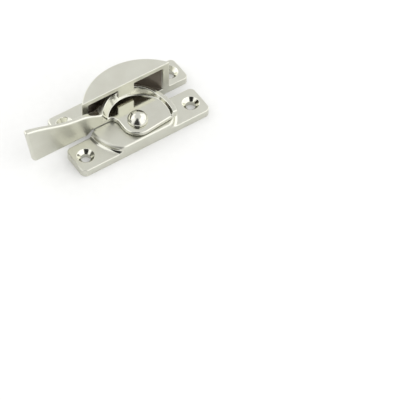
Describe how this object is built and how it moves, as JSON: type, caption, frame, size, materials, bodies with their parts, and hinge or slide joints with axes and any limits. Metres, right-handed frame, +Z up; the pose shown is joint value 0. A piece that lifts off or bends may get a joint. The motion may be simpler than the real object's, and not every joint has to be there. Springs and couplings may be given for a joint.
{
  "type": "window sash lock",
  "caption": "Turning cam lever on a screw-down plate that hooks a hooded keep to lock two sliding window sashes together.",
  "frame": {"origin": "point where the lever's pivot axis meets the underside of the body plate, on the rivet's flush tail", "axes": "+X along the plates, away from the closed handle; +Y from the body towards the keep; +Z up, away from the meeting rails"},
  "size_m": [0.0838, 0.0329, 0.0248],
  "materials": {
    "satin_nickel": "satin nickel plate with polished bevels",
    "polished_nickel": "polished nickel plate",
    "spring_steel": "plain spring steel",
    "bronze": "plain bronze"
  },
  "bodies": {
    "body": {"body_plate": "satin_nickel", "pivot_rivet": "polished_nickel", "thrust_washer": "bronze", "wave_washer": "spring_steel", "tail_washer": "spring_steel", "keep": "satin_nickel"},
    "lever": {"cam_lever": "satin_nickel"}
  },
  "joints": [
    {"name": "lever_turn", "type": "hinge", "parent": "body", "child": "lever", "pos_m": [0, 0, 0], "axis": [0, 0, 1], "range_deg": [0, 180]}
  ]
}
